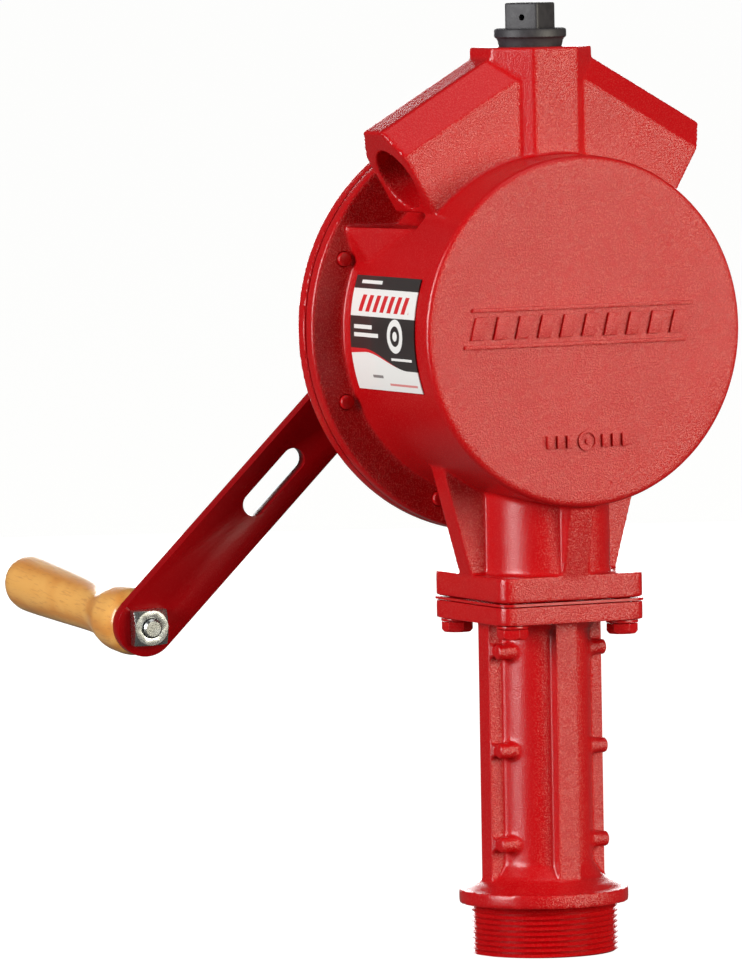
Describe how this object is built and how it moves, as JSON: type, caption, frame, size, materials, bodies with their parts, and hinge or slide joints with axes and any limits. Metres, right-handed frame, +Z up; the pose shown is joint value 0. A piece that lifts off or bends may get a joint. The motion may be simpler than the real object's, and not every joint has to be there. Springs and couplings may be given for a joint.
{
  "type": "rotary hand transfer pump",
  "caption": "Hand-cranked rotary vane pump: round casing on a ribbed column with a threaded bung base, two nozzle boots, plugged top outlet and a slotted crank with a wood grip.",
  "frame": {"origin": "on the bung thread's axis, at the underside of the collar that seats on the drum", "axes": "+Z up along the column, -Y out of the closed round face of the casing, crank on the +Y side"},
  "size_m": [0.2249, 0.2945, 0.3872],
  "materials": {
    "red_powder_coat": "glossy red powder coat over cast iron and steel",
    "fibre_gasket": "dark compressed fibre",
    "black_plastic": "moulded black nylon",
    "bronze": "machined bearing bronze",
    "nitrile_rubber": "matt black nitrile rubber",
    "plain_steel": "bright drawn and turned steel",
    "zinc_plate": "bright zinc plate",
    "grey_iron": "machined grey iron",
    "carbon_vane": "pressed carbon",
    "printed_label": null,
    "varnished_wood": "turned hardwood under clear varnish"
  },
  "bodies": {
    "pump_body": {"pump_casing": "red_powder_coat", "rear_cover": "red_powder_coat", "cover_gasket": "fibre_gasket", "cover_screw_1": "red_powder_coat", "cover_screw_2": "red_powder_coat", "cover_screw_3": "red_powder_coat", "cover_screw_4": "red_powder_coat", "cover_screw_5": "red_powder_coat", "cover_screw_6": "red_powder_coat", "cover_screw_7": "red_powder_coat", "cover_screw_8": "red_powder_coat", "inlet_column": "red_powder_coat", "column_gasket": "fibre_gasket", "flange_bolt_1": "red_powder_coat", "flange_bolt_2": "red_powder_coat", "flange_bolt_3": "red_powder_coat", "flange_bolt_4": "red_powder_coat", "flange_washer_1": "red_powder_coat", "flange_washer_2": "red_powder_coat", "flange_washer_3": "red_powder_coat", "flange_washer_4": "red_powder_coat", "outlet_plug": "black_plastic", "front_bush": "bronze", "rear_bush": "bronze", "shaft_seal": "nitrile_rubber", "gland_nut": "plain_steel", "inlet_valve_seat": "bronze", "inlet_valve_guide": "bronze", "inlet_valve_spring": "plain_steel", "strainer_basket": "plain_steel", "rating_label": "printed_label"},
    "crank": {"rotor": "grey_iron", "vane_1": "carbon_vane", "vane_2": "carbon_vane", "vane_3": "carbon_vane", "vane_4": "carbon_vane", "vane_spring_1": "plain_steel", "vane_spring_2": "plain_steel", "vane_spring_3": "plain_steel", "vane_spring_4": "plain_steel", "rotor_key": "plain_steel", "pump_shaft": "plain_steel", "crank_arm": "red_powder_coat", "crank_washer": "zinc_plate", "crank_screw": "zinc_plate", "handle_bolt": "zinc_plate", "handle_nut": "zinc_plate", "handle_washer": "zinc_plate"},
    "handle": {"wood_handle": "varnished_wood"},
    "inlet_valve": {"inlet_valve_poppet": "nitrile_rubber"}
  },
  "joints": [
    {"name": "crank_turn", "type": "hinge", "parent": "pump_body", "child": "crank", "pos_m": [0, 0.05, 0.2428], "axis": [0, 1, 0], "continuous": true},
    {"name": "handle_spin", "type": "hinge", "parent": "crank", "child": "handle", "pos_m": [-0.12654, 0.10824, 0.11177], "axis": [0.0666, 0.9954, 0.0689], "continuous": true},
    {"name": "inlet_valve_lift", "type": "slide", "parent": "pump_body", "child": "inlet_valve", "axis": [0, 0, 1], "range_m": [0, 0.0035], "stiffness_N_per_m": 60, "springref_m": -0.001, "deforming": ["inlet_valve_spring"]}
  ]
}
